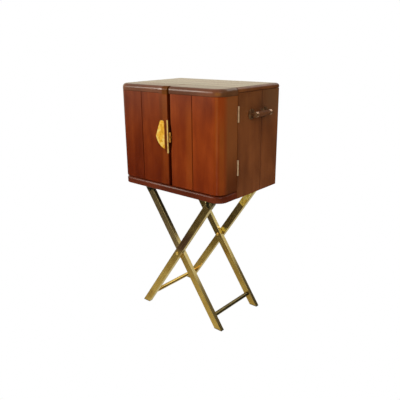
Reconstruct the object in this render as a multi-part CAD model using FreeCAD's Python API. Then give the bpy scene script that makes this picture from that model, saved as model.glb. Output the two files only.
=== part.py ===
import FreeCAD, Part
import math
import os

# Fold-out bar cabinet: a wooden case with two deep doors, on a folding brass stand.
# All sizes are in millimetres. X runs to the right, Y to the back and Z up.
# The origin lies on the floor, under the middle of the whole object.

# Driving sizes of the case
box_width = 640.0
box_depth = 450.0
box_height = 500.0
door_depth = 121.0
corner_radius = 50.0
side_thickness = 18.0
back_thickness = 12.0
top_thickness = 24.0
base_thickness = 35.0
door_board = 20.0
cap_thickness = 33.0

# Driving sizes of the stand
stand_height = 700.0
stand_depth = 381.0
stand_back_shift = 16.5
top_half_span = 235.0
foot_half_span = 248.0
leg_width = 38.0
leg_thickness = 22.0

# Clearances
hinge_gap = 3.0
door_bottom_gap = 4.0
meeting_gap = 5.0
seat_gap = 0.3
fit_gap = 0.05

# Working values for cuts and for finding edges
overrun = 5.0
tolerance = 0.01

# Rounded and grooved edges of the boards
base_nose_radius = 14.0
base_bottom_chamfer = 2.0
cap_nose_radius = 18.0
cap_bottom_chamfer = 2.0
top_edge_radius = 14.0
top_groove = 4.0
seam_chamfer = 2.5
small_round = 2.0
side_seam_from_joint = 187.0

# Door layout, measured from the middle of the case
meeting_x = 13.0
plank_seam_x = 160.0
stile_width = 52.0
meeting_groove = 13.0
cap_groove = 7.0
meeting_wall = 16.0
door_floor_thickness = 14.0
door_shelf_thickness = 12.0
door_shelf_height = 305.0
door_rail_radius = 3.0
door_rail_height = 70.0
door_rail_setback = 12.0

# Inside of the case
shelf_thickness = 18.0
shelf_height = 215.0
shelf_setback = 25.0
cleat_height = 18.0
cleat_width = 15.0
glass_rail_count = 4
glass_rail_pitch = 100.0
glass_stem_width = 16.0
glass_stem_height = 24.0
glass_flange_width = 62.0
glass_flange_thickness = 7.0

# Butt hinges
hinge_length = 70.0
hinge_low = 147.0
hinge_high = 386.0
hinge_leaf_width = 16.0
hinge_leaf_thickness = 1.3
knuckle_radius = 3.5
knuckle_count = 3
knuckle_gap = 0.3
hinge_pin_radius = 1.5
hinge_pin_tip = 1.0

# Side carrying handles
handle_height = 376.0
handle_post_spacing = 108.0
handle_standoff = 26.0
handle_front_shift = 10.0
rosette_radius = 23.5
rosette_thickness = 4.0
handle_post_radius = 6.0
cup_radius = 13.0
cup_length = 17.0
cup_bottom = 3.0
grip_radius = 10.0

# Lock plates and turn button
lock_height = 270.0
lock_plate_edge_x = -9.5
lock_plate_reach = 58.0
lock_plate_down = 59.0
lock_plate_up = 57.0
lock_plate_crown = (18.0, 74.0)
lock_plate_shoulder = (31.0, 66.0)
lock_plate_belly = (40.0, 37.0)
lock_plate_thickness = 2.0
lock_plate_bevel = 0.8
edge_plate_height = 154.0
edge_plate_face = 8.0
edge_plate_depth = 4.0
edge_plate_thickness = 1.2
notch_height = 142.0
notch_width = 7.0
button_x = 26.5
button_length = 47.0
button_width = 11.0
button_thickness = 4.0
button_lift = 2.5
button_screw_radius = 2.5
button_screw_head_radius = 4.2
button_screw_head = 1.5
button_screw_depth = 7.0
button_shoulder_radius = 5.0

# Stand details
tube_wall = 1.6
head_length = 34.0
head_spigot = 22.0
head_strap_top = 12.0
head_strap_length = 135.0
head_strap_thickness = 1.0
head_strap_margin = 2.5
top_bar_radius = 8.0
lower_bar_radius = 11.0
lower_bar_height = 59.5
leg_edge_chamfer = 1.2
foot_sole = 3.0
foot_spigot = 16.0
pivot_radius = 4.0
pivot_washer_radius = 11.0
pivot_washer_thickness = 1.7
pivot_head_radius = 8.0
pivot_head_height = 3.5
pivot_nut_radius = 8.0
pivot_nut_height = 8.0
pivot_nut_sides = 6

# Saddles under the case that hold the top bars of the stand
saddle_width = 44.0
saddle_reach = 46.0
saddle_thickness = 3.0
saddle_drop = 25.0
saddle_bend = 2.0
saddle_from_middle = 105.0

# Places worked out from the sizes above
half_width = box_width / 2
front_proud = button_lift + button_thickness + seat_gap + button_screw_head
front_y = (front_proud - box_depth) / 2
back_y = front_y + box_depth
joint_y = front_y + door_depth
door_back = joint_y - hinge_gap / 2
case_front = joint_y + hinge_gap / 2
door_inside = front_y + door_board
inner_half = half_width - side_thickness
case_bottom = stand_height
case_top = case_bottom + box_height
base_top = case_bottom + base_thickness
top_under = case_top - top_thickness
cap_bottom = case_top - cap_thickness
door_bottom = base_top + door_bottom_gap
door_floor_top = door_bottom + door_floor_thickness
door_shelf_bottom = door_bottom + door_shelf_height
door_shelf_top = door_shelf_bottom + door_shelf_thickness
pin_x = half_width + knuckle_radius + fit_gap
lock_z = case_bottom + lock_height
handle_z = case_bottom + handle_height
handle_y = (case_front + back_y) / 2 - handle_front_shift

stand_y = (front_y + back_y) / 2 + stand_back_shift
pivot_z = stand_height * foot_half_span / (foot_half_span + top_half_span)
lean = math.atan((foot_half_span + top_half_span) / stand_height)
head_radius = leg_width / 2
top_bar_z = stand_height - seat_gap - head_radius
top_bar_reach = (top_bar_z - pivot_z) / math.cos(lean)
top_bar_x = top_bar_reach * math.sin(lean)
lower_bar_reach = (pivot_z - lower_bar_height) / math.cos(lean)
outer_face = stand_depth / 2
outer_inside = outer_face - leg_thickness
inner_face = outer_inside - pivot_washer_thickness - seat_gap
inner_inside = inner_face - leg_thickness


def vec(x, y, z):
    return FreeCAD.Vector(x, y, z)


def block(x0, x1, y0, y1, z0, z1):
    corner = vec(min(x0, x1), min(y0, y1), min(z0, z1))
    return Part.makeBox(abs(x1 - x0), abs(y1 - y0), abs(z1 - z0), corner)


def rod(radius, start, end):
    return Part.makeCylinder(radius, (end - start).Length, start, end - start)


def board(outline, z0, z1):
    """A board with the given outline, seen from above, between two heights."""
    wire = Part.makePolygon([vec(x, y, z0) for x, y in outline + outline[:1]])
    return Part.Face(wire).extrude(vec(0, 0, z1 - z0))


def near(a, b):
    return abs(a - b) < tolerance


def upright_edges(solid, x, y):
    """The upright edges of a board that stand at one place on its outline."""
    found = []
    for edge in solid.Edges:
        middle = edge.CenterOfMass
        if near(middle.x, x) and near(middle.y, y) and not near(edge.BoundBox.ZLength, 0):
            found.append(edge)
    return found


def rim_edges(solid, z):
    """The edges at one height that follow the front, the corners and the sides of the case."""
    found = []
    for edge in solid.Edges:
        middle = edge.CenterOfMass
        if not near(middle.z, z):
            continue
        on_front = near(middle.y, front_y)
        on_side = near(abs(middle.x), half_width)
        on_corner = isinstance(edge.Curve, Part.Circle)
        if on_front or on_side or on_corner:
            found.append(edge)
    return found


def face_edges(solid, y):
    """The edges that lie in one plane square to Y."""
    return [edge for edge in solid.Edges
            if near(edge.BoundBox.YMin, y) and near(edge.BoundBox.YMax, y)]


def save(name, *solids):
    shape = solids[0] if len(solids) == 1 else Part.makeCompound(list(solids))
    shape.exportStep("parts/" + name + ".step")


# Case

def base_board():
    """The floor of the case, with a rounded nose that runs on under both doors."""
    inner_back = back_y - back_thickness
    outline = [
        (-half_width, front_y), (half_width, front_y), (half_width, case_front),
        (inner_half, case_front), (inner_half, inner_back),
        (-inner_half, inner_back), (-inner_half, case_front), (-half_width, case_front),
    ]
    solid = board(outline, case_bottom, base_top)
    for x in (-half_width, half_width):
        solid = solid.makeFillet(corner_radius, upright_edges(solid, x, front_y))
    solid = solid.makeFillet(base_nose_radius, rim_edges(solid, base_top))
    return solid.makeChamfer(base_bottom_chamfer, rim_edges(solid, case_bottom))


def side_panel(side):
    """One side of the case, of two boards glued edge to edge with a fine V between them."""
    outer = side * half_width
    solid = block(outer, side * inner_half, case_front, back_y, case_bottom, top_under)
    seam_y = joint_y + side_seam_from_joint
    groove = board([(outer, seam_y - seam_chamfer), (outer - side * seam_chamfer, seam_y),
                    (outer, seam_y + seam_chamfer)], case_bottom, top_under)
    return solid.cut(groove)


def back_panel():
    return block(-inner_half, inner_half, back_y - back_thickness, back_y, case_bottom, top_under)


def top_board():
    """The fixed part of the top, with rounded upper edges and a groove under its sides."""
    solid = block(-half_width, half_width, case_front, back_y, top_under, case_top)
    upper = rim_edges(solid, case_top)
    upper += [edge for edge in face_edges(solid, back_y) if near(edge.CenterOfMass.z, case_top)]
    solid = solid.makeFillet(top_edge_radius, upper)
    return solid.makeChamfer(top_groove, rim_edges(solid, top_under))


def case_shelf():
    shelf_bottom = base_top + shelf_height
    return block(-inner_half, inner_half, case_front + shelf_setback, back_y - back_thickness,
                 shelf_bottom, shelf_bottom + shelf_thickness)


def shelf_cleats():
    top = base_top + shelf_height
    return [block(side * inner_half, side * (inner_half - cleat_width),
                  case_front + shelf_setback, back_y - back_thickness,
                  top - cleat_height, top) for side in (-1, 1)]


def glass_rails():
    """T-shaped rails under the top, between which stemmed glasses hang by their feet."""
    rails = []
    start = case_front + shelf_setback
    end = back_y - back_thickness
    flange_top = top_under - glass_stem_height
    for index in range(glass_rail_count):
        x = (index - (glass_rail_count - 1) / 2) * glass_rail_pitch
        stem = block(x - glass_stem_width / 2, x + glass_stem_width / 2, start, end,
                     flange_top, top_under)
        flange = block(x - glass_flange_width / 2, x + glass_flange_width / 2, start, end,
                       flange_top - glass_flange_thickness, flange_top)
        rails.append(stem.fuse(flange).removeSplitter())
    return rails


# Saddles

def saddle_places():
    return [(side, stand_y + end * saddle_from_middle) for side in (-1, 1) for end in (-1, 1)]


def saddle(side, y):
    """A bent strip under the case, whose lip lies outside the top bar and stops it spreading."""
    lip = top_bar_x + top_bar_radius + seat_gap
    outer = lip + saddle_thickness
    inner = outer - saddle_reach
    top = case_bottom
    under = top - saddle_thickness
    profile = [(inner, top), (outer, top), (outer, top - saddle_drop), (lip, top - saddle_drop),
               (lip, under), (inner, under)]
    start = y - saddle_width / 2
    wire = Part.makePolygon([vec(side * x, start, z) for x, z in profile + profile[:1]])
    solid = Part.Face(wire).extrude(vec(0, saddle_width, 0))
    bends = ((lip, under, saddle_bend), (outer, top, saddle_bend + saddle_thickness))
    for x, z, radius in bends:
        edges = [edge for edge in solid.Edges
                 if near(edge.CenterOfMass.x, side * x) and near(edge.CenterOfMass.z, z)]
        solid = solid.makeFillet(radius, edges)
    return solid


# Doors

def meeting_edge(side):
    return meeting_x + side * meeting_gap / 2


def corner_board(side):
    """The bent board that makes the outer front and the hinge side of a door."""
    outer = side * half_width
    inner = side * (half_width - door_board)
    seam = side * plank_seam_x
    outline = [(seam, front_y), (outer, front_y), (outer, door_back),
               (inner, door_back), (inner, door_inside), (seam, door_inside)]
    solid = board(outline, door_bottom, cap_bottom)
    solid = solid.makeFillet(corner_radius, upright_edges(solid, outer, front_y))
    solid = solid.makeFillet(corner_radius - door_board, upright_edges(solid, inner, door_inside))
    return solid.makeChamfer(seam_chamfer, upright_edges(solid, seam, front_y))


def left_plank():
    """The board between the bent corner and the meeting stile of the left door."""
    stile_x = meeting_edge(-1) - stile_width
    solid = block(-plank_seam_x, stile_x, front_y, door_inside, door_bottom, cap_bottom)
    return solid.makeChamfer(seam_chamfer, upright_edges(solid, -plank_seam_x, front_y))


def left_stile():
    """The stile on the meeting edge of the left door. It runs up through the cap to the top."""
    edge = meeting_edge(-1)
    solid = block(edge - stile_width, edge, front_y, door_inside, door_bottom, case_top)
    solid = solid.makeFillet(cap_nose_radius, rim_edges(solid, case_top))
    return solid.makeFillet(small_round, upright_edges(solid, edge, front_y))


def right_plank():
    """The inner board of the right door. It stops short of the meeting edge and so leaves a
    groove there, and its edge has a shallow finger notch."""
    edge = meeting_edge(1) + meeting_groove
    solid = block(edge, plank_seam_x, front_y, door_inside, door_bottom, cap_bottom)
    solid = solid.makeChamfer(seam_chamfer, upright_edges(solid, plank_seam_x, front_y))
    solid = solid.makeFillet(small_round, upright_edges(solid, edge, front_y))
    half = notch_height / 2
    low = vec(edge, front_y, lock_z - half)
    high = vec(edge, front_y, lock_z + half)
    arc = Part.Arc(low, vec(edge + notch_width, front_y, lock_z), high).toShape()
    before = vec(-overrun, 0, 0)
    lines = [(high, high + before), (high + before, low + before), (low + before, low)]
    wire = Part.Wire([arc] + [Part.makeLine(a, b) for a, b in lines])
    return solid.cut(Part.Face(wire).extrude(vec(0, door_board, 0)))


def door_cap(side):
    """The top of a door, with a rounded nose. The left one is notched for the stile, and the
    right one for the groove at the meeting edge."""
    outer = side * half_width
    edge = meeting_edge(side)
    notch = edge - stile_width if side < 0 else edge + cap_groove
    outline = [(outer, front_y), (outer, door_back), (edge, door_back),
               (edge, door_inside), (notch, door_inside), (notch, front_y)]
    solid = board(outline, cap_bottom, case_top)
    solid = solid.makeFillet(corner_radius, upright_edges(solid, outer, front_y))
    solid = solid.makeFillet(cap_nose_radius, rim_edges(solid, case_top))
    return solid.makeChamfer(cap_bottom_chamfer, rim_edges(solid, cap_bottom))


def tray(side, y_end, z0, z1):
    """A board that fills a door from wall to wall, rounded to fit inside its corner."""
    outer = side * (half_width - door_board)
    wall = meeting_edge(side) + side * meeting_wall
    outline = [(wall, door_inside), (outer, door_inside), (outer, y_end), (wall, y_end)]
    solid = board(outline, z0, z1)
    return solid.makeFillet(corner_radius - door_board, upright_edges(solid, outer, door_inside))


def door_floor(side):
    return tray(side, door_back, door_bottom, door_floor_top)


def door_shelf(side):
    return tray(side, door_back, door_shelf_bottom, door_shelf_top)


def meeting_board(side):
    """The inner wall of a door, behind its meeting edge. The right one takes the button screw."""
    edge = meeting_edge(side)
    solid = block(edge, edge + side * meeting_wall, door_inside, door_back, door_bottom, cap_bottom)
    hole = rod(button_screw_radius + fit_gap, vec(button_x, front_y, lock_z),
               vec(button_x, door_inside + button_screw_depth, lock_z))
    return solid.cut(hole) if side > 0 else solid


def bottle_rail(side, standing_on):
    """A brass rail from wall to wall that keeps bottles in the door."""
    y = door_back - door_rail_setback
    z = standing_on + door_rail_height
    wall = meeting_edge(side) + side * meeting_wall
    return rod(door_rail_radius, vec(wall, y, z), vec(side * (half_width - door_board), y, z))


# Hinges

def knuckle_spans(middle):
    """The height ranges of the knuckles of one hinge, from the bottom up."""
    pitch = (hinge_length + knuckle_gap) / knuckle_count
    bottom = middle - hinge_length / 2
    return [(bottom + i * pitch, bottom + (i + 1) * pitch - knuckle_gap)
            for i in range(knuckle_count)]


def hinge_leaf(side, middle, to_back, first):
    """One leaf of a butt hinge. It lies on the end of a board, and its knuckles go round the
    pin: every other one, from the first."""
    near_y = joint_y + to_back * (hinge_gap / 2 - hinge_leaf_thickness)
    far_y = joint_y + to_back * hinge_gap / 2
    root = side * (half_width - fit_gap)
    solid = block(side * (half_width - hinge_leaf_width), root, near_y, far_y,
                  middle - hinge_length / 2, middle + hinge_length / 2)
    for low, high in knuckle_spans(middle)[first::2]:
        barrel = rod(knuckle_radius, vec(side * pin_x, joint_y, low),
                     vec(side * pin_x, joint_y, high))
        tongue = block(root, side * pin_x, near_y, far_y, low, high)
        solid = solid.fuse(tongue).fuse(barrel)
    bore = rod(hinge_pin_radius + fit_gap,
               vec(side * pin_x, joint_y, middle - hinge_length),
               vec(side * pin_x, joint_y, middle + hinge_length))
    return solid.cut(bore).removeSplitter()


def hinge_pin(side, middle):
    """The pin of a hinge. Its ends stand out of the barrel a little."""
    half = hinge_length / 2 + hinge_pin_tip
    return rod(hinge_pin_radius, vec(side * pin_x, joint_y, middle - half),
               vec(side * pin_x, joint_y, middle + half))


def hinge_heights():
    return [case_bottom + hinge_low, case_bottom + hinge_high]


# Side handles

def handle_mount(side, end):
    """A cast mount: a round rosette on the side of the case, a post and a cup that holds one
    end of the grip."""
    foot = vec(side * half_width, handle_y + end * handle_post_spacing / 2, handle_z)
    out = vec(side, 0, 0)
    axis = foot + out * handle_standoff
    outside = axis + vec(0, end * cup_length / 2, 0)
    inside = axis - vec(0, end * cup_length / 2, 0)
    solid = rod(rosette_radius, foot, foot + out * rosette_thickness)
    solid = solid.fuse(rod(handle_post_radius, foot, axis)).fuse(rod(cup_radius, inside, outside))
    bore = rod(grip_radius + fit_gap, inside, outside - vec(0, end * cup_bottom, 0))
    return solid.cut(bore).removeSplitter()


def handle_grip(side):
    """The round grip, whose ends stand in the cups."""
    x = side * (half_width + handle_standoff)
    reach = (handle_post_spacing + cup_length) / 2 - cup_bottom
    return rod(grip_radius, vec(x, handle_y - reach, handle_z), vec(x, handle_y + reach, handle_z))


# Lock plates and turn button

def on_lock_plate(inward, up):
    """A place on the lock plate, from its straight edge and the height of the lock."""
    return vec(lock_plate_edge_x - inward, front_y, lock_z + up)


def lock_plate():
    """The leaf-shaped plate on the left door: a straight edge, a round crown, a straight
    shoulder down to a point and a round belly, with a bevel all round."""
    low = on_lock_plate(0, -lock_plate_down)
    high = on_lock_plate(0, lock_plate_up)
    crown = on_lock_plate(*lock_plate_crown)
    shoulder = on_lock_plate(*lock_plate_shoulder)
    point = on_lock_plate(lock_plate_reach, 0)
    belly = on_lock_plate(lock_plate_belly[0], -lock_plate_belly[1])
    wire = Part.Wire([Part.makeLine(low, high), Part.Arc(high, crown, shoulder).toShape(),
                      Part.makeLine(shoulder, point), Part.Arc(point, belly, low).toShape()])
    to_rim = lock_plate_bevel - lock_plate_thickness
    solid = Part.Face(wire).extrude(vec(0, to_rim, 0))
    crest = wire.makeOffset2D(-lock_plate_bevel)
    crest.translate(vec(0, -lock_plate_thickness, 0))
    wire.translate(vec(0, to_rim, 0))
    return solid.fuse(Part.makeLoft([wire, crest], True, True)).removeSplitter()


def edge_plate():
    """The bent strip that covers the meeting edge of the left door."""
    edge = meeting_edge(-1)
    half = edge_plate_height / 2
    thick = edge_plate_thickness
    z0 = lock_z - half
    z1 = lock_z + half
    outside = block(edge - edge_plate_face, edge + thick, front_y - thick,
                    front_y + edge_plate_depth, z0, z1)
    outside = outside.makeFillet(small_round + thick,
                                 upright_edges(outside, edge + thick, front_y - thick))
    inside = block(edge - edge_plate_face - overrun, edge, front_y,
                   front_y + edge_plate_depth + overrun, z0 - overrun, z1 + overrun)
    inside = inside.makeFillet(small_round, upright_edges(inside, edge, front_y))
    return outside.cut(inside)


def turn_button():
    """A round-ended bar that turns on its screw and holds the left door shut when it lies flat."""
    radius = button_width / 2
    reach = button_length / 2 - radius
    near_y = front_y - button_lift
    far_y = near_y - button_thickness
    solid = block(button_x - radius, button_x + radius, far_y, near_y, lock_z - reach, lock_z + reach)
    for end in (-1, 1):
        z = lock_z + end * reach
        solid = solid.fuse(rod(radius, vec(button_x, far_y, z), vec(button_x, near_y, z)))
    hole = rod(button_screw_radius + fit_gap, vec(button_x, far_y - overrun, lock_z),
               vec(button_x, near_y + overrun, lock_z))
    return solid.cut(hole).removeSplitter()


def button_screw():
    """The shoulder screw that the button turns on. Its shoulder stands on the groove's floor and
    lifts the button clear of the plates."""
    floor = vec(button_x, door_inside, lock_z)
    shoulder = vec(button_x, front_y - button_lift + seat_gap, lock_z)
    seat = vec(button_x, front_y - button_lift - button_thickness - seat_gap, lock_z)
    tip = floor + vec(0, button_screw_depth, 0)
    head = rod(button_screw_head_radius, seat, seat - vec(0, button_screw_head, 0))
    solid = rod(button_screw_radius, seat, tip).fuse(rod(button_shoulder_radius, floor, shoulder))
    return solid.fuse(head)


# Stand

def upright_on_pivot(solid, lean_angle, y):
    """Leans a solid that was made upright about the origin, and puts the origin on the pivot."""
    turn = FreeCAD.Rotation(vec(0, 1, 0), math.degrees(lean_angle))
    solid.Placement = FreeCAD.Placement(vec(0, y, pivot_z), turn)
    return solid


def tube_end():
    """How far above the pivot the leg tubes end and their heads begin."""
    return top_bar_reach - head_length


def leg_bar(width, thickness, low, high):
    """An upright bar about the origin, with its long edges taken off."""
    solid = block(-width / 2, width / 2, -thickness / 2, thickness / 2, low, high)
    edges = []
    for x in (-width / 2, width / 2):
        for y in (-thickness / 2, thickness / 2):
            edges += upright_edges(solid, x, y)
    return solid.makeChamfer(leg_edge_chamfer, edges)


def floor_cut(height):
    """Everything under one height, to trim the slanting legs level."""
    reach = box_width + box_height
    return block(-reach, reach, -reach, reach, -reach, height)


def leg(lean_angle, y):
    """A leg: a flat tube with a hole for the pivot bolt, trimmed level at the foot."""
    low = -pivot_z / math.cos(lean) - leg_width
    high = tube_end()
    solid = leg_bar(leg_width, leg_thickness, low, high)
    bore = leg_width / 2 - tube_wall
    slot = leg_thickness / 2 - tube_wall
    solid = solid.cut(block(-bore, bore, -slot, slot, low - overrun, high + overrun))
    hole = rod(pivot_radius + fit_gap, vec(0, -leg_thickness, 0), vec(0, leg_thickness, 0))
    solid = upright_on_pivot(solid.cut(hole), lean_angle, y)
    return solid.cut(floor_cut(foot_sole))


def leg_head(lean_angle, y, inward):
    """The cast head of a leg, round above the top bar, with a spigot inside the tube and a
    thin strap down the inside face of the leg."""
    low = tube_end()
    radius = leg_width / 2
    half = leg_thickness / 2
    solid = block(-radius, radius, -half, half, low, top_bar_reach)
    solid = solid.fuse(rod(radius, vec(0, -half, top_bar_reach), vec(0, half, top_bar_reach)))
    bore = radius - tube_wall - fit_gap
    slot = half - tube_wall - fit_gap
    solid = solid.removeSplitter().fuse(block(-bore, bore, -slot, slot, low - head_spigot, low))
    strap = radius - head_strap_margin
    strap_top = top_bar_reach - head_strap_top
    solid = solid.fuse(block(-strap, strap, inward * half, inward * (half + head_strap_thickness),
                             strap_top - head_strap_length, strap_top))
    return upright_on_pivot(solid, lean_angle, y)


def foot_plug(lean_angle, y):
    """The plug that closes a leg: a level sole under the tube and a spigot inside it."""
    low = -pivot_z / math.cos(lean) - leg_width
    high = -pivot_z / math.cos(lean) + foot_spigot + leg_width
    sole = upright_on_pivot(leg_bar(leg_width, leg_thickness, low, high), lean_angle, y)
    reach = box_width + box_height
    sole = sole.cut(block(-reach, reach, -reach, reach, foot_sole, reach)).cut(floor_cut(0))
    bore = leg_width / 2 - tube_wall - fit_gap
    slot = leg_thickness / 2 - tube_wall - fit_gap
    spigot = block(-bore, bore, -slot, slot, low, high - leg_width)
    spigot = upright_on_pivot(spigot, lean_angle, y).cut(floor_cut(foot_sole))
    return sole.fuse(spigot)


def cross_bar(radius, reach, lean_angle, inside):
    """A round bar between the two legs of a frame, at one distance along them."""
    x = reach * math.sin(lean_angle)
    z = pivot_z + reach * math.cos(lean_angle)
    return rod(radius, vec(x, stand_y - inside, z), vec(x, stand_y + inside, z))


def pivot_bolt(end):
    """A round-headed bolt through an outer and an inner leg."""
    seat = vec(0, stand_y + end * outer_face, pivot_z)
    tip = vec(0, stand_y + end * (inner_inside - seat_gap - pivot_nut_height / 2), pivot_z)
    head = rod(pivot_head_radius, seat, seat + vec(0, end * pivot_head_height, 0))
    return rod(pivot_radius, seat, tip).fuse(head)


def pivot_washer(end):
    """The washer that holds the two frames apart."""
    outside = vec(0, stand_y + end * outer_inside, pivot_z)
    inside = outside - vec(0, end * pivot_washer_thickness, 0)
    return rod(pivot_washer_radius, outside, inside).cut(rod(pivot_radius + fit_gap, outside, inside))


def pivot_nut(end):
    """The hexagon cap nut on the inner end of a pivot bolt."""
    y = stand_y + end * (inner_inside - seat_gap)
    corners = []
    for index in range(pivot_nut_sides):
        angle = math.tau * index / pivot_nut_sides
        corners.append(vec(pivot_nut_radius * math.cos(angle), y,
                           pivot_z + pivot_nut_radius * math.sin(angle)))
    inward = vec(0, -end * pivot_nut_height, 0)
    solid = Part.Face(Part.makePolygon(corners + corners[:1])).extrude(inward)
    seat = vec(0, y, pivot_z)
    return solid.cut(rod(pivot_radius + fit_gap, seat, seat + inward / 2))


def save_stand():
    outer_middle = outer_face - leg_thickness / 2
    inner_middle = inner_face - leg_thickness / 2
    frames = (("outer", lean, outer_middle, outer_inside),
              ("inner", -lean, inner_middle, inner_inside))
    for name, angle, middle, inside in frames:
        for place, end in (("front", -1), ("rear", 1)):
            save(name + "_" + place + "_leg", leg(angle, stand_y + end * middle))
            save(name + "_" + place + "_leg_head", leg_head(angle, stand_y + end * middle, -end))
        save(name + "_top_bar", cross_bar(top_bar_radius, top_bar_reach, angle, inside))
        save(name + "_lower_bar", cross_bar(lower_bar_radius, -lower_bar_reach, angle, inside))
        save(name + "_foot_plugs", *[foot_plug(angle, stand_y + end * middle) for end in (-1, 1)])
    save("pivot_bolts", pivot_bolt(-1), pivot_bolt(1))
    save("pivot_washers", pivot_washer(-1), pivot_washer(1))
    save("pivot_nuts", pivot_nut(-1), pivot_nut(1))


def save_case():
    save("base_board", base_board())
    save("left_side_panel", side_panel(-1))
    save("right_side_panel", side_panel(1))
    save("back_panel", back_panel())
    save("top_board", top_board())
    save("case_shelf", case_shelf())
    save("shelf_cleats", *shelf_cleats())
    save("glass_rails", *glass_rails())
    save("saddles", *[saddle(side, y) for side, y in saddle_places()])
    save("handle_mounts", *[handle_mount(side, end) for side in (-1, 1) for end in (-1, 1)])
    for name, side in (("left", -1), ("right", 1)):
        save(name + "_handle_grip", handle_grip(side))
        save(name + "_hinge_case_leaves", *[hinge_leaf(side, z, 1, 0) for z in hinge_heights()])


def save_doors():
    for name, side in (("left", -1), ("right", 1)):
        save(name + "_door_corner_board", corner_board(side))
        save(name + "_door_cap", door_cap(side))
        save(name + "_door_floor", door_floor(side))
        save(name + "_door_shelf", door_shelf(side))
        save(name + "_door_meeting_board", meeting_board(side))
        save(name + "_door_rails", bottle_rail(side, door_floor_top), bottle_rail(side, door_shelf_top))
        save(name + "_hinge_door_leaves", *[hinge_leaf(side, z, -1, 1) for z in hinge_heights()])
        save(name + "_hinge_pins", *[hinge_pin(side, z) for z in hinge_heights()])
    save("left_door_plank", left_plank())
    save("left_door_stile", left_stile())
    save("right_door_plank", right_plank())
    save("lock_plate", lock_plate())
    save("edge_plate", edge_plate())
    save("turn_button", turn_button())
    save("button_screw", button_screw())


os.makedirs("parts", exist_ok=True)
save_stand()
save_case()
save_doors()

fold_stop = 2 * lean - math.asin((leg_width / 2 + lower_bar_radius) / lower_bar_reach)
print("joint line y", joint_y, "hinge pin x", pin_x, "pivot z", pivot_z, "lean", math.degrees(lean))
print("frames can fold by", math.degrees(fold_stop), "degrees before a leg meets a bar")
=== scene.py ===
import math

import bpy
import numpy as np
from mathutils import Matrix, Vector


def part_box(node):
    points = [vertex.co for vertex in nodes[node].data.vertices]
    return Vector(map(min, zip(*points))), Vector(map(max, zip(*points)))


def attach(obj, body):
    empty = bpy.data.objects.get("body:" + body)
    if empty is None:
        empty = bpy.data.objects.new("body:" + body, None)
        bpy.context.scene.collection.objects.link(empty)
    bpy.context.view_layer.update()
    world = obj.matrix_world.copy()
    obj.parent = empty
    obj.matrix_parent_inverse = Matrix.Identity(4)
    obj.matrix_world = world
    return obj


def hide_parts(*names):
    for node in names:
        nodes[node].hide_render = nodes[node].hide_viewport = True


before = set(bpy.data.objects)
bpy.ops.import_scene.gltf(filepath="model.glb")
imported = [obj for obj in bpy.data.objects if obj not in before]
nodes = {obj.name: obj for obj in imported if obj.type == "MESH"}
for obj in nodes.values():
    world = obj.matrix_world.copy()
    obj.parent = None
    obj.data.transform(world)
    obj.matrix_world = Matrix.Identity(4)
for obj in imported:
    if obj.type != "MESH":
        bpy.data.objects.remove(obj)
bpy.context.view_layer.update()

print("frame loaded:", len(nodes), "CAD nodes")


# One output socket. Plain operators on it add Math nodes to its finish
class Value:
    def __init__(self, finish, socket):
        self.finish = finish
        self.socket = socket

    def maths(self, operation, *others):
        inputs = dict(enumerate((self,) + others))
        return self.finish.add("ShaderNodeMath", {"operation": operation}, inputs)

    def __add__(self, other):
        return self.maths("ADD", other)

    __radd__ = __add__

    def __mul__(self, other):
        return self.maths("MULTIPLY", other)

    __rmul__ = __mul__

    def __sub__(self, other):
        return self.maths("SUBTRACT", other)

    def __rsub__(self, other):
        return self * -1.0 + other

    # A pattern from 0 to 1, moved to lie around 0 and given a depth
    def swing(self, depth):
        return (self - 0.5) * depth

    # 0 up to low, 1 from high on, and a smooth step between them
    def rise(self, low, high):
        settings = {"interpolation_type": "SMOOTHSTEP"}
        return self.finish.add("ShaderNodeMapRange", settings, {0: self, 1: low, 2: high})


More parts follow.
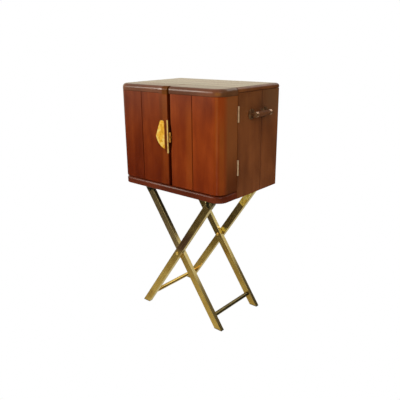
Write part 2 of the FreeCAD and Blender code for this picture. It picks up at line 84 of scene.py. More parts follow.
# A material in the making. Every node of it comes from add
class Finish:
    def __init__(self, name, owner=None):
        self.owner = owner or bpy.data.materials.new(name)
        self.owner.use_nodes = True
        self.tree = self.owner.node_tree
        self.tree.nodes.clear()

    def add(self, kind, settings=None, inputs=None, output=0):
        node = self.tree.nodes.new(kind)
        for key, value in (settings or {}).items():
            if key == "stops":
                self.setStops(node.color_ramp.elements, value)
            else:
                setattr(node, key, value)
        for key, value in (inputs or {}).items():
            if isinstance(value, Value):
                self.tree.links.new(value.socket, node.inputs[key])
            else:
                node.inputs[key].default_value = value
        return Value(self, node.outputs[output]) if node.outputs else None

    def setStops(self, elements, stops):
        while len(elements) < len(stops):
            elements.new(1.0)
        for element, (share, colour) in zip(elements, stops):
            element.position = share
            element.color = (*colour, 1.0)

    # The place on the object in metres, centred, turned and drawn out by one Mapping node
    def place(self, centre=(0, 0, 0), turn=(0, 0, 0), stretch=(1, 1, 1)):
        here = self.add("ShaderNodeTexCoord", output="Object")
        inputs = {"Vector": here, "Location": centre, "Rotation": turn, "Scale": stretch}
        return self.add("ShaderNodeMapping", {"vector_type": "TEXTURE"}, inputs)

    def axis(self, name, place=None):
        return self.add("ShaderNodeSeparateXYZ", None, {0: place or self.place()}, name)

    def noise(self, place, scale, detail=2.0, roughness=0.5, distortion=0.0):
        inputs = {"Vector": place, "Scale": scale, "Detail": detail,
                  "Roughness": roughness, "Distortion": distortion}
        return self.add("ShaderNodeTexNoise", None, inputs, "Fac")

    def ramp(self, value, stops, tones):
        return self.add("ShaderNodeValToRGB", {"stops": list(zip(stops, tones))}, {0: value})

    # Two colours in shares: 0 is all first, 1 all second
    def blend(self, share, first, second, way="MIX"):
        settings = {"data_type": "RGBA", "blend_type": way}
        full = [tone if isinstance(tone, Value) else (*tone, 1.0) for tone in (first, second)]
        return self.add("ShaderNodeMix", settings, {0: share, 6: full[0], 7: full[1]}, 2)

    def bump(self, height, distance, strength):
        inputs = {"Height": height, "Distance": distance, "Strength": strength}
        return self.add("ShaderNodeBump", None, inputs, "Normal")

    def close(self, inputs):
        surface = self.add("ShaderNodeBsdfPrincipled", None, inputs)
        self.add("ShaderNodeOutputMaterial", None, {"Surface": surface})
        return self.owner


# One material on all faces of the named CAD pieces
def dress(material, *names):
    for name in names:
        slots = nodes[name].data.materials
        for index in range(len(slots)):
            slots[index] = material


# Marks (stains, painted light and shade, worn places) lie between limits in metres: fromX starts
# a mark along X, toX ends it, and beyondX starts it on both sides of the middle. share is the most
# that it comes to
def cover(share, tone, **limits):
    return {"share": share, "tone": tone, "way": "MIX", "limits": limits}


def darken(share, tone, **limits):
    return {"share": share, "tone": tone, "way": "MULTIPLY", "limits": limits}


def worn(share, **limits):
    return {"share": share, "limits": limits}


# How much of a mark lies at each place: its share times one smooth step for each limit
def markShare(finish, mark, place=None):
    share = mark["share"]
    for limit, (start, end) in mark["limits"].items():
        reach = finish.axis(limit[-1], place)
        if limit.startswith("beyond"):
            reach = reach.maths("ABSOLUTE")
        step = reach.rise(start, end)
        share = (1.0 - step if limit.startswith("to") else step) * share
    return share


def paintStainsAndLight(finish, colour, stainsAndPaintedLight, place=None):
    for mark in stainsAndPaintedLight:
        share = markShare(finish, mark, place)
        colour = finish.blend(share, colour, mark["tone"], mark["way"])
    return colour


# Lacquered mahogany. Broad ribbon figure, fine fibre and short dark pores, all drawn out along the
# grain, with stains and painted light and shade in the colour and worn places in the lacquer
def woodFinish(look):
    finish = Finish(look["name"])
    along = [float(axis == look["grain"]) for axis in "XYZ"]

    def grainNoise(part, **texture):
        longer = look[part + "Stretch"] - 1
        place = finish.place(look["shift"], stretch=[1 + longer * share for share in along])
        return finish.noise(place, look[part + "Scale"], **texture)

    figure = grainNoise("figure", detail=3.0, distortion=look["figureWaver"])
    fibre = grainNoise("fibre", detail=3.0, roughness=0.6)
    pores = grainNoise("pore", detail=1.0).rise(*look["poreEdges"])
    mottle = grainNoise("mottle", distortion=look["mottleWaver"])
    tone = figure.swing(look["figure"]) + mottle.swing(look["mottle"]) + fibre.swing(look["fibre"])
    colour = finish.ramp(tone * look["contrast"] + 0.5, look["toneStops"], look["tones"])
    colour = finish.blend(pores * look["pores"], colour, look["poreTone"], "MULTIPLY")
    colour = paintStainsAndLight(finish, colour, look["stainsAndPaintedLight"])
    uneven = fibre.swing(look["fibreRoughness"]) + mottle.swing(look["mottleRoughness"])
    coat = (figure.swing(look["coatSwing"]) + 1.0) * look["coat"]
    for wornPlace in look["wornCoat"]:
        coat = coat * (1.0 - markShare(finish, wornPlace))
    height = fibre * look["fibreHeight"] - pores
    return finish.close({
        "Base Color": colour, "Roughness": uneven + look["roughness"],
        "Normal": finish.bump(height, look["poreDepth"], look["relief"]),
        "Specular IOR Level": look["specular"],
        "Coat Weight": coat, "Coat Roughness": look["coatRoughness"], "Coat IOR": 1.5,
    })


frontWood = {
    "grain": "Z", "figure": 0.50, "mottle": 0.75, "fibre": 0.14, "pores": 0.35,
    "figureScale": 20.0, "figureStretch": 9.0, "figureWaver": 0.9,
    "mottleScale": 9.0, "mottleStretch": 1.6, "mottleWaver": 0.3, "mottleRoughness": 0.06,
    "fibreScale": 420.0, "fibreStretch": 45.0, "fibreHeight": 0.4, "fibreRoughness": 0.10,
    "poreScale": 1500.0, "poreStretch": 28.0, "poreEdges": (0.60, 0.68),
    "poreTone": (0.35, 0.25, 0.18), "poreDepth": 0.00004, "relief": 0.5,
    "contrast": 1.9, "toneStops": (0.12, 0.5, 0.88), "roughness": 0.40, "specular": 0.04,
    "coat": 0.95, "coatSwing": 0.7, "coatRoughness": 0.09, "stainsAndPaintedLight": (), "wornCoat": (),
}

# The five front boards. All have painted shade low down, and four have a thin dark line at a seam
paintedLowShade = {"tone": (0.74, 0.58, 0.45), "toZ": (0.76, 0.98)}
seamShade = {"share": 0.75, "tone": (0.45, 0.36, 0.34)}
frontBoards = {
    "left_door_corner_board": {
        "name": "leftCornerMahogany", "shift": (0.3, 0.1, 0.2),
        "tones": ((0.110, 0.0135, 0.0013), (0.153, 0.0210, 0.0020), (0.200, 0.032, 0.0036)),
        "stainsAndPaintedLight": (darken(0.9, **paintedLowShade),
                   darken(**seamShade, fromX=(-0.1628, -0.1615)))},
    "left_door_plank": {
        "name": "leftPlankMahogany", "shift": (0.7, 0.4, 0.9),
        "tones": ((0.127, 0.0165, 0.0017), (0.186, 0.0280, 0.0026), (0.245, 0.043, 0.0048)),
        "stainsAndPaintedLight": (darken(0.9, **paintedLowShade),
                   darken(**seamShade, toX=(-0.1585, -0.1572)))},
    "left_door_stile": {
        "name": "stileMahogany", "shift": (0.1, 0.8, 0.5),
        "tones": ((0.125, 0.0185, 0.0015), (0.183, 0.031, 0.0025), (0.270, 0.057, 0.0053)),
        "stainsAndPaintedLight": (
            darken(0.8, (0.38, 0.26, 0.20),     # painted shade between the lock plate and the edge plate
                   fromX=(-0.0105, -0.0095), toX=(0.0030, 0.0036),
                   fromZ=(0.890, 0.905), toZ=(1.03, 1.05)),
            darken(0.85, (0.42, 0.24, 0.15), fromX=(0.0080, 0.0100)),     # painted shade in the groove
            # a painted highlight: a lighter, warmer band down the upper stile by its edge
            cover(0.75, (0.196, 0.043, 0.004),
                  fromX=(-0.032, -0.014), toX=(0.0060, 0.0085),
                  fromZ=(0.98, 1.08), toZ=(1.15, 1.17)),
            cover(1.0, (0.150, 0.040, 0.014), fromZ=(1.163, 1.167)),     # its end beside the caps
            # painted shade on the stile's top, beside the caps
            cover(0.85, (0.125, 0.036, 0.002), fromX=(-0.024, -0.018), fromZ=(1.160, 1.166)),
            darken(0.9, **paintedLowShade)),
        "wornCoat": (worn(0.9, fromX=(-0.026, -0.018), fromZ=(1.155, 1.166)),)},
    "right_door_plank": {
        "name": "rightPlankMahogany", "shift": (0.5, 0.2, 0.4),
        "tones": ((0.153, 0.0195, 0.0020), (0.212, 0.0315, 0.0030), (0.280, 0.049, 0.0055)),
        "stainsAndPaintedLight": (
            darken(0.6, **paintedLowShade),
            cover(0.40, (0.290, 0.062, 0.006),
                  fromX=(0.110, 0.140), fromZ=(0.74, 0.80), toZ=(1.08, 1.16)),
            # painted shade beside the groove
            darken(0.5, (0.55, 0.52, 0.60), toX=(0.012, 0.030)),
            darken(**seamShade, fromX=(0.1565, 0.1580)))},
    "right_door_corner_board": {
        "name": "rightCornerMahogany", "shift": (0.9, 0.6, 0.7),
        "tones": ((0.165, 0.022, 0.0024), (0.236, 0.036, 0.0038), (0.312, 0.055, 0.0068)),
        "stainsAndPaintedLight": (
            darken(**seamShade, toX=(0.1615, 0.1630)),
            # a painted highlight: a lighter streak down the turn of the rounded corner
            cover(0.40, (0.360, 0.085, 0.008),
                  fromX=(0.284, 0.292), toX=(0.296, 0.302), fromZ=(0.80, 0.98)),
            cover(0.75, (0.215, 0.075, 0.020), fromY=(-0.200, -0.165)),     # painted shade, darker and browner, on the side part round the corner
            # a painted highlight, lower down in the turn of the corner
            cover(0.45, (0.330, 0.092, 0.014),
                  fromX=(0.300, 0.307), toX=(0.3135, 0.3180), toZ=(1.00, 1.12)),
            # painted shade on the side part, lower down
            darken(0.9, (0.56, 0.51, 0.54), fromY=(-0.195, -0.160), toZ=(0.74, 0.93)),
            darken(0.7, **paintedLowShade))},
}
for name, changes in frontBoards.items():
    dress(woodFinish({**frontWood, **changes}), name)

# The rounded caps and the base board
edgeWood = {
    **frontWood, "grain": "X", "figureScale": 24.0, "coat": 0.66, "coatRoughness": 0.19,
    "tones": ((0.105, 0.032, 0.0130), (0.158, 0.050, 0.0220), (0.215, 0.072, 0.0320)),
}
leftCapWood = {**edgeWood, "name": "leftCapMahogany", "shift": (0.2, 0.5, 0.3)}
rightCapWood = {
    **edgeWood, "name": "rightCapMahogany", "shift": (0.6, 0.9, 0.8),
    "stainsAndPaintedLight": (
        # painted shade on the side part of the cap
        cover(0.6, (0.100, 0.046, 0.016), fromX=(0.300, 0.314)),
        cover(0.55, (0.300, 0.120, 0.024),     # a soft painted highlight on the rounded corner
              fromX=(0.278, 0.296), toX=(0.300, 0.314),
              fromZ=(1.166, 1.179), toZ=(1.180, 1.192))),
    "wornCoat": (worn(0.65, fromX=(0.180, 0.280), toY=(-0.11, -0.09), toZ=(1.190, 1.198)),),
}
baseWood = {
    **edgeWood, "name": "baseMahogany", "shift": (0.4, 0.3, 0.1),
    "tones": ((0.075, 0.012, 0.0035), (0.110, 0.018, 0.0055), (0.160, 0.032, 0.0100)),
    "stainsAndPaintedLight": (darken(0.92, (0.12, 0.12, 0.12), toZ=(0.7004, 0.7012)),),     # painted shade on its underside
    "wornCoat": (worn(0.30, toX=(0.0, 0.15)), worn(0.60, fromX=(0.0, 0.15))),
}
dress(woodFinish(leftCapWood), "left_door_cap")
dress(woodFinish(rightCapWood), "right_door_cap")
dress(woodFinish(baseWood), "base_board")

caseWood = {
    **frontWood, "figureScale": 18.0, "roughness": 0.45, "specular": 0.08,
    "coat": 0.8, "coatRoughness": 0.20,
    "tones": ((0.110, 0.034, 0.0090), (0.150, 0.047, 0.0125), (0.200, 0.066, 0.0180)),
}
leftSideWood = {**caseWood, "name": "leftSideMahogany", "shift": (0.1, 0.2, 0.6)}
rightSideWood = {
    **caseWood, "name": "rightSideMahogany", "shift": (0.8, 0.5, 0.2),
    "tones": ((0.130, 0.036, 0.0088), (0.178, 0.050, 0.0122), (0.232, 0.069, 0.0175)),
    "stainsAndPaintedLight": (
        cover(0.45, (0.210, 0.095, 0.040),     # a painted sheen, paler towards the upper rear corner
              fromY=(0.04, 0.16), fromZ=(0.98, 1.12)),
        darken(0.6, (0.70, 0.80, 0.85), fromZ=(1.02, 1.10)),
        darken(0.6, (0.42, 0.34, 0.40),     # the seam of its two boards
               fromY=(0.0840, 0.0858), toY=(0.0885, 0.0903))),
}
backWood = {**caseWood, "name": "backMahogany", "shift": (0.3, 0.7, 0.9)}
topWood = {
    **caseWood, "name": "topMahogany", "grain": "X", "shift": (0.5, 0.1, 0.4),
    "coat": 0.69, "coatRoughness": 0.13, "wornCoat": (worn(0.7, beyondX=(0.304, 0.312)),),
}
dress(woodFinish(leftSideWood), "left_side_panel")
dress(woodFinish(rightSideWood), "right_side_panel")
dress(woodFinish(backWood), "back_panel")
dress(woodFinish(topWood), "top_board")

insideWood = {
    **frontWood, "shift": (0.2, 0.9, 0.1), "coat": 0.3, "coatRoughness": 0.35, "roughness": 0.5,
    "tones": ((0.120, 0.034, 0.0080), (0.185, 0.056, 0.0140), (0.250, 0.085, 0.0230)),
}
meetingWood = {
    **insideWood, "name": "insideMahogany",
    "stainsAndPaintedLight": (darken(0.9, (0.22, 0.08, 0.04), toY=(-0.2000, -0.1985)),),     # painted shade on the front edges, in the groove
}
dress(woodFinish(meetingWood), "left_door_meeting_board", "right_door_meeting_board")
dress(woodFinish({**insideWood, "name": "insideShelfMahogany", "grain": "X"}),
      "case_shelf", "left_door_floor", "left_door_shelf", "right_door_floor", "right_door_shelf")
dress(woodFinish({**insideWood, "name": "insideRailMahogany", "grain": "Y"}),
      "shelf_cleats", "glass_rails")
print("woods done")


# Polished brass: soft clouds of tarnish, faint polishing streaks along one direction and a few
# dark specks, with stains and painted light in the colour. Leg marks, all painted light and shade,
# have their limits across the leg (X) and along it (Z) from the pivot
def brassFinish(look):
    finish = Finish(look["name"])
    brushed = finish.place(look["centre"], look["turn"], (1, 1, look["streakStretch"]))
    streaks = finish.noise(brushed, look["streakScale"])
    clouds = finish.noise(finish.place(), look["cloudScale"], detail=3.0,
                          distortion=look["cloudWaver"])
    specks = finish.noise(finish.place(), look["speckScale"], roughness=0.6)
    specks = specks.rise(*look["speckEdges"])
    tarnish = clouds.swing(look["cloudDepth"]) + streaks.swing(look["streakDepth"]) + 0.5
    colour = finish.ramp(tarnish, look["toneStops"], look["tones"])
    colour = finish.blend(specks * look["specks"], colour, look["speckTone"], "MULTIPLY")
    colour = paintStainsAndLight(finish, colour, look["stainsAndPaintedLight"])
    colour = paintStainsAndLight(finish, colour, look["legPaintedLight"], finish.place(look["centre"], look["turn"]))
    uneven = streaks.swing(look["streakRoughness"]) + clouds.swing(look["cloudRoughness"])
    return finish.close({"Base Color": colour, "Roughness": uneven + look["roughness"],
                         "Metallic": look["metallic"]})


standBrass = {
    "centre": (0, 0, 0), "turn": (0, 0, 0), "stainsAndPaintedLight": (), "legPaintedLight": (),
    "cloudScale": 12.0, "cloudDepth": 1.1, "cloudWaver": 0.4, "cloudRoughness": 0.10,
    "streakScale": 150.0, "streakDepth": 0.6, "streakStretch": 30.0, "streakRoughness": 0.06,
    "specks": 0.10, "speckScale": 260.0, "speckEdges": (0.64, 0.76),
    "speckTone": (0.45, 0.30, 0.16), "roughness": 0.19, "metallic": 0.85,
    "toneStops": (0.15, 0.5, 0.85),
    "tones": ((0.40, 0.24, 0.055), (0.58, 0.39, 0.095), (0.74, 0.54, 0.16)),
}

# The legs cross at the pivot and lean alike, the outer ones to the right going up
stand = {"lean": math.radians(34.6057), "pivotHeight": 0.35942, "middle": 0.02065}
# Painted shade on the upper legs, above the crossing
paintedTopShade = darken(0.75, (0.55, 0.54, 0.74), fromZ=(0.31, 0.40))
darkPatch = darken(0.9, (0.56, 0.45, 0.85), fromZ=(0.370, 0.395), toZ=(0.465, 0.520))
# A paler, greyer painted shade on the upper part of the inner front leg
paintedGreyTopShade = cover(0.8, (0.505, 0.372, 0.190), fromZ=(0.31, 0.40))
# A bright yellow band just above the pivot
brightBandAbovePivot = cover(0.85, (1.0, 0.80, 0.16), fromZ=(0.372, 0.380), toZ=(0.396, 0.404))
# Painted highlights along the edges of the legs
paintedEdgeHighlights = cover(0.75, (0.80, 0.66, 0.32), beyondX=(0.0172, 0.0184))
# Painted shade on the side faces of the inner legs, low down, and high up above the pivot, deep on
# the front leg and lighter on the rear
paintedFootShade = darken(0.85, (0.30, 0.26, 0.20), fromX=(0.0184, 0.0189), toZ=(-0.24, -0.10))
paintedDeepUpperSideShade = darken(0.66, (0.08, 0.07, 0.06), fromX=(0.0180, 0.0187), fromZ=(0.03, 0.12))
paintedLightUpperSideShade = darken(0.9, (0.62, 0.66, 0.62), fromX=(0.0180, 0.0187), fromZ=(0.03, 0.12))
outerLegBrass = {
    **standBrass, "centre": (0, 0, stand["pivotHeight"]), "turn": (0, stand["lean"], 0),
    "legPaintedLight": (paintedEdgeHighlights,),
}
innerLegBrass = {**outerLegBrass, "turn": (0, -stand["lean"], 0)}
legLooks = {
    "outer_front_leg": {
        **outerLegBrass, "name": "outerFrontLegBrass", "stainsAndPaintedLight": (paintedTopShade, darkPatch)},
    "outer_rear_leg": {
        **outerLegBrass, "name": "outerRearLegBrass", "stainsAndPaintedLight": (paintedTopShade, brightBandAbovePivot)},
    "inner_front_leg": {
        **innerLegBrass, "name": "innerFrontLegBrass", "stainsAndPaintedLight": (paintedGreyTopShade,),
        "legPaintedLight": (paintedEdgeHighlights, paintedFootShade, paintedDeepUpperSideShade)},
    "inner_rear_leg": {
        **innerLegBrass, "name": "innerRearLegBrass", "stainsAndPaintedLight": (paintedTopShade,),
        "legPaintedLight": (paintedEdgeHighlights, paintedFootShade, paintedLightUpperSideShade)},
}
for name, look in legLooks.items():
    dress(brassFinish(look), name)

barBrass = {**standBrass, "name": "outerBarBrass", "turn": (math.pi / 2, 0, 0)}
dress(brassFinish(barBrass), "outer_lower_bar", "outer_top_bar")
# The inner bars are a darker copy of the outer bars, painted shade
shadedInnerBarBrass = {
    **barBrass, "name": "shadedInnerBarBrass",
    "tones": ((0.050, 0.036, 0.012), (0.080, 0.060, 0.019), (0.24, 0.19, 0.065)),
}
dress(brassFinish(shadedInnerBarBrass), "inner_lower_bar", "inner_top_bar")

# The heads of the legs, painted bright as a highlight at the rear and painted dark as shade at the
# front, and the pivots
brightBrass = {
    **standBrass, "name": "brightBrass", "cloudScale": 45.0, "cloudDepth": 1.8,
    "roughness": 0.26, "metallic": 0.36,
    "tones": ((0.80, 0.50, 0.06), (1.0, 0.77, 0.15), (1.0, 0.90, 0.42)),
}
shadedHeadBrass = {
    **brightBrass, "name": "paintedShadeHeadBrass", "metallic": 0.85, "cloudDepth": 2.4,
    "tones": ((0.045, 0.040, 0.022), (0.10, 0.085, 0.040), (0.60, 0.48, 0.22)),
}
pivotBrass = {
    **brightBrass, "name": "pivotBrass",
    "tones": ((0.40, 0.25, 0.05), (0.60, 0.40, 0.09), (0.85, 0.65, 0.2)),
}
dress(brassFinish(brightBrass), "outer_rear_leg_head", "inner_rear_leg_head")
dress(brassFinish(shadedHeadBrass), "outer_front_leg_head", "inner_front_leg_head")
dress(brassFinish(pivotBrass), "pivot_bolts", "pivot_washers", "pivot_nuts")

# The lock plate, the edge plate with painted shade on its face and side face and a painted
# highlight along its corner, and the turn button
lockBrass = {
    **brightBrass, "name": "lockPlateBrass", "cloudScale": 60.0, "cloudDepth": 1.9,
    "roughness": 0.30, "metallic": 0.35,
    "tones": ((0.74, 0.34, 0.012), (0.98, 0.54, 0.045), (1.0, 0.76, 0.22)),
    "stainsAndPaintedLight": (darken(0.8, (0.50, 0.26, 0.20), fromX=(-0.0140, -0.0128)),),
}
edgePlateBrass = {
    **lockBrass, "name": "edgePlateBrass", "metallic": 0.4, "cloudDepth": 1.2,
    "tones": ((0.85, 0.48, 0.10), (0.97, 0.66, 0.20), (1.0, 0.80, 0.34)),
    # painted shade on the face, leaving a painted highlight along the corner
    "stainsAndPaintedLight": (darken(0.9, (0.30, 0.14, 0.07), toX=(0.0054, 0.0060)),
               # painted shade on the side face
               darken(0.95, (0.15, 0.05, 0.01), fromX=(0.0058, 0.0061), fromY=(-0.2207, -0.2200))),
}
buttonBrass = {
    **lockBrass, "name": "buttonBrass", "metallic": 0.6, "cloudDepth": 1.8, "stainsAndPaintedLight": (),
    "tones": ((0.30, 0.115, 0.014), (0.50, 0.21, 0.026), (0.85, 0.48, 0.08)),
}
dress(brassFinish(lockBrass), "lock_plate")
dress(brassFinish(edgePlateBrass), "edge_plate")
dress(brassFinish(buttonBrass), "turn_button", "button_screw")

hingeBrass = {
    **standBrass, "name": "hingeBrass", "cloudScale": 90.0, "roughness": 0.34, "metallic": 0.35,
    "tones": ((0.56, 0.35, 0.18), (0.78, 0.54, 0.32), (0.92, 0.70, 0.48)),
}
fittingBrass = {**standBrass, "name": "fittingBrass", "cloudScale": 60.0}
mountBrass = {
    **hingeBrass, "name": "mountBrass", "metallic": 0.6, "cloudScale": 60.0, "roughness": 0.30,
    "tones": ((0.120, 0.050, 0.020), (0.225, 0.105, 0.045), (0.46, 0.29, 0.145)),
}
dress(brassFinish(hingeBrass), "left_hinge_case_leaves", "right_hinge_case_leaves",
      "left_hinge_door_leaves", "right_hinge_door_leaves", "left_hinge_pins", "right_hinge_pins")
dress(brassFinish(fittingBrass), "left_door_rails", "right_door_rails", "saddles")
dress(brassFinish(mountBrass), "handle_mounts")


# Leather wrapped round the grips: pebbled grain with worn, lighter patches
def leatherFinish(look):
    finish = Finish(look["name"])
    pebbles = finish.add("ShaderNodeTexVoronoi", {"feature": "SMOOTH_F1"},
                         {"Vector": finish.place(), "Scale": look["pebbleScale"]}, "Distance")
    wear = finish.noise(finish.place(), look["wearScale"], detail=4.0, roughness=0.6)
    tone = wear * look["wear"] + (0.5 - pebbles) * look["pebbles"]
    return finish.close({
        "Base Color": finish.ramp(tone, look["toneStops"], look["tones"]),
        "Roughness": wear * look["wearRoughness"] + look["roughness"],
        "Normal": finish.bump(1.0 - pebbles, look["pebbleDepth"], look["relief"]),
        "Specular IOR Level": look["specular"],
    })


gripLeather = {
    "name": "gripLeather", "pebbleScale": 900.0, "pebbles": 0.6, "pebbleDepth": 0.00012,
    "relief": 0.8, "wearScale": 45.0, "wear": 0.7, "wearRoughness": 0.2, "roughness": 0.55,
    "specular": 0.05, "toneStops": (0.25, 0.75),
    "tones": ((0.095, 0.033, 0.012), (0.200, 0.076, 0.030)),
}
gripFinish = leatherFinish(gripLeather)
dress(gripFinish, "left_handle_grip", "right_handle_grip")


# Dull black rubber with some dust
def rubberFinish(look):
    finish = Finish(look["name"])
    dust = finish.noise(finish.place(), look["dustScale"], detail=4.0, roughness=0.6)
    return finish.close({
        "Base Color": finish.ramp(dust, look["toneStops"], look["tones"]),
        "Roughness": dust * look["dustRoughness"] + look["roughness"],
        "Normal": finish.bump(dust, look["dustDepth"], look["relief"]),
    })


footRubber = {
    "name": "footRubber", "dustScale": 120.0, "dustRoughness": 0.2, "roughness": 0.6,
    "dustDepth": 0.0001, "relief": 0.4, "toneStops": (0.35, 0.75),
    "tones": ((0.012, 0.010, 0.009), (0.045, 0.038, 0.030)),
}
dress(rubberFinish(footRubber), "outer_foot_plugs", "inner_foot_plugs")
print("brass, leather and rubber done")

sharpAngle = math.radians(35)


# A new piece from points in metres and faces, smooth but for edges sharper than sharpAngle
def addPiece(name, points, quads, triangles, material, body, slot):
    mesh = bpy.data.meshes.new(name)
    mesh.from_pydata(points.tolist(), [], quads.tolist() + triangles.tolist())
    mesh.materials.append(material)
    mesh.shade_smooth()
    mesh.set_sharp_from_angle(angle=sharpAngle)
    piece = bpy.data.objects.new(name, mesh)
    bpy.context.scene.collection.objects.link(piece)
    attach(piece, body)
    return piece


# A closed skin over rows of points: four neighbours in two rows make a face, each row is a
# closed ring, and the single points first and last close the two ends
def ringFaces(rows, columns, first, last):
    row, column = np.meshgrid(np.arange(rows - 1), np.arange(columns), indexing="ij")
    here, beside = row * columns + column, row * columns + (column + 1) % columns
    sides = np.stack([here, beside, beside + columns, here + columns], axis=-1).reshape(-1, 4)
    around = np.arange(columns)
    after = (around + 1) % columns
    lastRow = (rows - 1) * columns
    startCap = np.stack([after, around, np.full(columns, first)], axis=-1)
    endCap = np.stack([around + lastRow, after + lastRow, np.full(columns, last)], axis=-1)
    return sides, np.vstack([startCap, endCap])


# A grip that swells from its ends to its middle, a circle swept along its own line:
# radius = end radius + swell * sin(pi * share of the length) ^ fullness
def swelledGrip(look, node):
    low, high = (np.array(corner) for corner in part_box(node))
    middle = (low + high) / 2
    share = np.linspace(0, 1, look["rings"])[:, None]
    angle = np.linspace(0, 2 * math.pi, look["around"], endpoint=False)[None, :]
    endRadius = (high[2] - low[2]) / 2 * look["endShare"]
    radius = endRadius + look["swell"] * np.sin(math.pi * share) ** look["fullness"]
    rings = np.stack([middle[0] + radius * np.cos(angle),
                      low[1] + (high[1] - low[1]) * share + 0 * angle,
                      middle[2] - radius * np.sin(angle)], axis=-1).reshape(-1, 3)
    poles = np.array([[middle[0], low[1], middle[2]], [middle[0], high[1], middle[2]]])
    count = len(rings)
    return (np.vstack([rings, poles]), *ringFaces(look["rings"], look["around"], count, count + 1))


gripShape = {"rings": 25, "around": 40, "endShare": 0.98, "swell": 0.0030, "fullness": 0.7}
for node in ("left_handle_grip", "right_handle_grip"):
    grip = addPiece(node.replace("_grip", "_swelled_grip"), *swelledGrip(gripShape, node),
                    gripFinish, "cabinet", "grip_leather")
    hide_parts(node)


# A screw or pin head, cut into chords that run along the slot:
# dome = height * (1 - (distance from the middle / radius) ^ 2) ^ roundness, lower in the slot
def headShape(look):
    radius, slot = look["radius"], look["slot"] / 2
    chords, quarter = look["chords"], math.pi / 2
    if slot:
        outer = slot + (radius - slot) * np.sin(np.linspace(0, quarter, chords + 2)[1:-1])
        walls = np.array(look["slotWalls"]) * slot
        across = np.concatenate([outer[::-1], walls[::-1], -walls, -outer])
    else:
        across = radius * np.sin(np.linspace(quarter, -quarter, 2 * chords + 2)[1:-1])
    reach = np.sqrt(radius ** 2 - across ** 2)[:, None]
    along = reach * np.sin(np.linspace(-quarter, quarter, look["chordPoints"]))[None, :]
    inward = np.clip(1 - (across[:, None] ** 2 + along ** 2) / radius ** 2, 0, 1)
    dome = look["height"] * inward ** look["roundness"]
    dome = np.where(np.abs(across)[:, None] < slot, dome * look["slotFloor"], dome)
    top = np.stack([across[:, None] + 0 * along, along, dome], axis=-1)
    side = np.concatenate([reach, -reach], axis=1)
    under = np.stack([across[:, None] + 0 * side, side, 0 * side - look["sunk"]], axis=-1)
    loops = np.concatenate([top, under], axis=1)
    ends = np.array([[radius, 0, -look["sunk"] / 2], [-radius, 0, -look["sunk"] / 2]])
    return loops, ends


# Heads of one kind at many places. out points away from the piece that they sit on, and each
# slot is turned on by turnStep from the one before: place + head turned about out
def heads(name, look, places, out, material, body, slot):
    loops, ends = headShape(look)
    rows, columns = loops.shape[:2]
    local = np.vstack([loops.reshape(-1, 3), ends])
    out = np.array(out, float)
    first = np.array((1.0, 0.0, 0.0)) if out[2] else np.cross(out, (0.0, 0.0, 1.0))
    second = np.cross(out, first)
    turn = look["turn"] + look["turnStep"] * np.arange(len(places))[:, None]
    acrossSlot = first * np.cos(turn) + second * np.sin(turn)
    alongSlot = second * np.cos(turn) - first * np.sin(turn)
    outward = np.broadcast_to(out, acrossSlot.shape)
    axes = np.stack([acrossSlot, alongSlot, outward], axis=1)
    points = np.array(places)[:, None, :] + local @ axes
    starts = len(local) * np.arange(len(places))[:, None, None]
    quads, triangles = ringFaces(rows, columns, len(local) - 2, len(local) - 1)
    return addPiece(name, points.reshape(-1, 3), (quads + starts).reshape(-1, 4),
                    (triangles + starts).reshape(-1, 3), material, body, slot)


# slotWalls are shares of half the slot's width, and slotFloor is a share of the dome
headForm = {
    "chords": 4, "chordPoints": 9, "roundness": 0.6, "slotWalls": (0.8, 1.2), "slotFloor": 0.35,
    "slot": 0, "turn": 0, "turnStep": 2.4,
}
pinHeads = {**headForm, "radius": 0.0016, "height": 0.0009, "sunk": 0.0004}
hingeScrews = {
    **headForm, "radius": 0.0030, "height": 0.00015, "slot": 0.0008, "sunk": 0.0002, "turn": 0.4}
saddleScrews = {
    **headForm, "radius": 0.0036, "height": 0.0014, "slot": 0.0009, "sunk": 0.0003, "turn": 0.9}
strapRivets = {**headForm, "radius": 0.0034, "height": 0.0005, "sunk": 0.0003}
pinBrass = {
    **lockBrass, "name": "pinBrass", "stainsAndPaintedLight": (), "metallic": 0.6,
    "tones": ((0.40, 0.20, 0.02), (0.62, 0.36, 0.05), (0.90, 0.66, 0.20)),
}
screwBrass = {**standBrass, "name": "screwBrass", "cloudScale": 120.0, "metallic": 0.7}
pinFinish, screwFinish = brassFinish(pinBrass), brassFinish(screwBrass)

plateFace = -0.22285
pinPlaces = [(x, plateFace, z) for x, z in ((-0.0220, 1.030), (-0.0580, 0.971), (-0.0170, 0.925))]
heads("lock_plate_pins", pinHeads, pinPlaces, (0, -1, 0), pinFinish, "left_door", "lock_brass")

hinges = {
    "across": {"left": -0.3115, "right": 0.3115}, "middles": (0.847, 1.086),
    "reaches": (-0.024, 0.0, 0.024), "caseFace": -0.09965, "doorFace": -0.10005,
}
for side, across in hinges["across"].items():
    heights = [middle + reach for middle in hinges["middles"] for reach in hinges["reaches"]]
    heads(side + "_hinge_case_screws", hingeScrews,
          [(across, hinges["caseFace"], height) for height in heights],
          (0, -1, 0), screwFinish, "cabinet", "fitting_brass")
    heads(side + "_hinge_door_screws", hingeScrews,
          [(across, hinges["doorFace"], height) for height in heights],
          (0, 1, 0), screwFinish, side + "_door", "fitting_brass")

saddles = {
    "across": (-0.2, 0.2), "along": (-0.09735, -0.07135, 0.11265, 0.13865), "underside": 0.697,
}
saddlePlaces = [(x, y, saddles["underside"]) for x in saddles["across"] for y in saddles["along"]]
heads("saddle_screws", saddleScrews, saddlePlaces, (0, 0, -1), screwFinish,
      "cabinet", "fitting_brass")

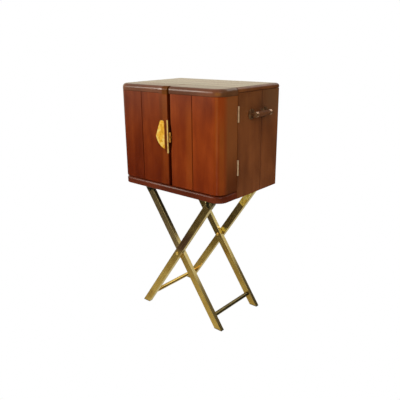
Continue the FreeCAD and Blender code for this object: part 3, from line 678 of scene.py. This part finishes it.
# Rivets on the straps inside the legs, at three reaches up from the pivot
straps = {"reaches": (0.262, 0.311, 0.360), "gaps": {"outer": 0.1675, "inner": 0.1435}}
for frameName, way in (("outer", 1), ("inner", -1)):
    spots = [(way * reach * math.sin(stand["lean"]),
              stand["pivotHeight"] + reach * math.cos(stand["lean"]))
             for reach in straps["reaches"]]
    for leg, outward in (("front", 1), ("rear", -1)):
        inside = stand["middle"] - outward * straps["gaps"][frameName]
        heads(frameName + "_" + leg + "_strap_rivets", strapRivets,
              [(x, inside, z) for x, z in spots],
              (0, outward, 0), screwFinish, frameName + "_frame", "bright_brass")
print("grips, screws, pins and rivets done")


# The camera stands where the photograph was taken from. Its place is in metres, its angles in
# degrees, and its lens and sensor in millimetres
photoCamera = {
    "place": (1.5621, -1.7962, 1.3809), "yaw": 40.8, "down": 18.07, "roll": -0.56,
    "lens": 43.2, "sensor": 36.0,
}


def makeCamera(look):
    yaw, down, roll = (math.radians(look[key]) for key in ("yaw", "down", "roll"))
    level = Vector((math.cos(yaw), math.sin(yaw), 0))
    forward = Vector((-math.sin(yaw), math.cos(yaw), 0))
    ahead = forward * math.cos(down) - Vector((0, 0, math.sin(down)))
    upward = level.cross(ahead)
    right = level * math.cos(roll) + upward * math.sin(roll)
    top = upward * math.cos(roll) - level * math.sin(roll)
    data = bpy.data.cameras.new("photoCamera")
    data.lens, data.sensor_width = look["lens"], look["sensor"]
    camera = bpy.data.objects.new("photoCamera", data)
    turned = Matrix((right, top, -ahead)).transposed().to_4x4()
    camera.matrix_world = Matrix.Translation(look["place"]) @ turned
    bpy.context.scene.collection.objects.link(camera)
    bpy.context.scene.camera = camera


makeCamera(photoCamera)

# Edges and horizons are parts of the direction in which the gloss looks, from -1 to 1
studio = {
    "horizon": (0.93, 0.87, 0.66), "overhead": (0.62, 0.61, 0.58), "skyEdges": (0.15, 0.9),
    "rightEdges": (-0.25, 0.35), "leftHorizon": (-0.185, 0.02), "rightHorizon": (0.28, 0.42),
    "lowDark": 0.01, "nearFloor": 0.60, "nearEdges": (0.385, 0.45),
    "floorTone": (0.9, 0.9, 0.9), "floorGlow": 1.0, "floorReach": 14.0,
}


# The room that the gloss sees: pale above the horizon, which lies higher on the right, dark
# under it, and a pale floor below. The camera itself sees plain white
def makeWorld(look):
    world = bpy.data.worlds.new("studio")
    bpy.context.scene.world = world
    sky = Finish("studio", world)
    direction = sky.add("ShaderNodeTexCoord", output="Generated")
    height = sky.axis("Z", direction)
    above = sky.blend(height.rise(*look["skyEdges"]), look["horizon"], look["overhead"])
    toRight = sky.axis("X", direction).rise(*look["rightEdges"])
    leftGlow, rightGlow = height.rise(*look["leftHorizon"]), height.rise(*look["rightHorizon"])
    glow = leftGlow + (rightGlow - leftGlow) * toRight
    dim = glow * (1 - look["lowDark"]) + look["lowDark"]
    near = (height * -1.0).rise(*look["nearEdges"]) * look["nearFloor"]
    shown = sky.blend(dim.maths("MAXIMUM", near), (0, 0, 0), above)
    seen = sky.add("ShaderNodeLightPath", output="Is Camera Ray")
    colour = sky.blend(seen, shown, (1.0, 1.0, 1.0))
    surface = sky.add("ShaderNodeBackground", None, {"Color": colour, "Strength": 1.0})
    sky.add("ShaderNodeOutputWorld", None, {"Surface": surface})


makeWorld(studio)


# A plain pale floor: one square of twice its reach. The camera sees it evenly lit, and the
# gloss doesn't see it
def makeFloor(look):
    reach = look["floorReach"]
    corners = [(-reach, -reach, 0), (reach, -reach, 0), (reach, reach, 0), (-reach, reach, 0)]
    mesh = bpy.data.meshes.new("studioFloor")
    mesh.from_pydata(corners, [], [(0, 1, 2, 3)])
    floor = bpy.data.objects.new("studioFloor", mesh)
    bpy.context.scene.collection.objects.link(floor)
    finish = Finish("paleFloor")
    seen = finish.add("ShaderNodeLightPath", output="Is Camera Ray")
    plain = finish.add("ShaderNodeBsdfDiffuse", None, {"Color": (*look["floorTone"], 1.0)})
    glow = finish.add("ShaderNodeEmission", None, {"Strength": 1.0})
    share = seen * look["floorGlow"]
    surface = finish.add("ShaderNodeMixShader", None, {0: share, 1: plain, 2: glow})
    finish.add("ShaderNodeOutputMaterial", None, {"Surface": surface})
    mesh.materials.append(finish.owner)
    floor.visible_glossy = False


makeFloor(studio)

# Places, aims and sizes in metres
softLights = {
    "frontLeftSoftbox": {"place": (-2.2, -2.9, 2.1), "aim": (0.0, 0.0, 0.85), "size": (1.6, 1.4),
                         "watts": 60, "colour": (1.0, 0.95, 0.86)},
    "frontRightFill": {"place": (2.8, -1.4, 2.4), "aim": (0.1, 0.0, 0.8), "size": (1.6, 1.6),
                       "watts": 22, "colour": (1.0, 1.0, 1.0)},
    "backFill": {"place": (0.6, 3.0, 2.6), "aim": (0.0, 0.0, 0.8), "size": (2.2, 1.6),
                 "watts": 25, "colour": (1.0, 1.0, 1.0)},
    "cornerStrip": {"place": (1.23, -2.58, 0.55), "aim": (0.29, -0.21, 0.9), "size": (0.14, 1.3),
                    "watts": 0.6, "colour": (1.0, 1.0, 1.0)},
}


def makeLight(name, look):
    data = bpy.data.lights.new(name, "AREA")
    data.shape = "RECTANGLE"
    data.size, data.size_y = look["size"]
    data.energy = look["watts"]
    data.color = look["colour"]
    light = bpy.data.objects.new(name, data)
    place, aim = Vector(look["place"]), Vector(look["aim"])
    turned = (aim - place).to_track_quat("-Z", "Y").to_matrix().to_4x4()
    light.matrix_world = Matrix.Translation(place) @ turned
    bpy.context.scene.collection.objects.link(light)


for name, look in softLights.items():
    makeLight(name, look)
bpy.context.scene.view_settings.view_transform = "Standard"
print("camera, floor and lights done")
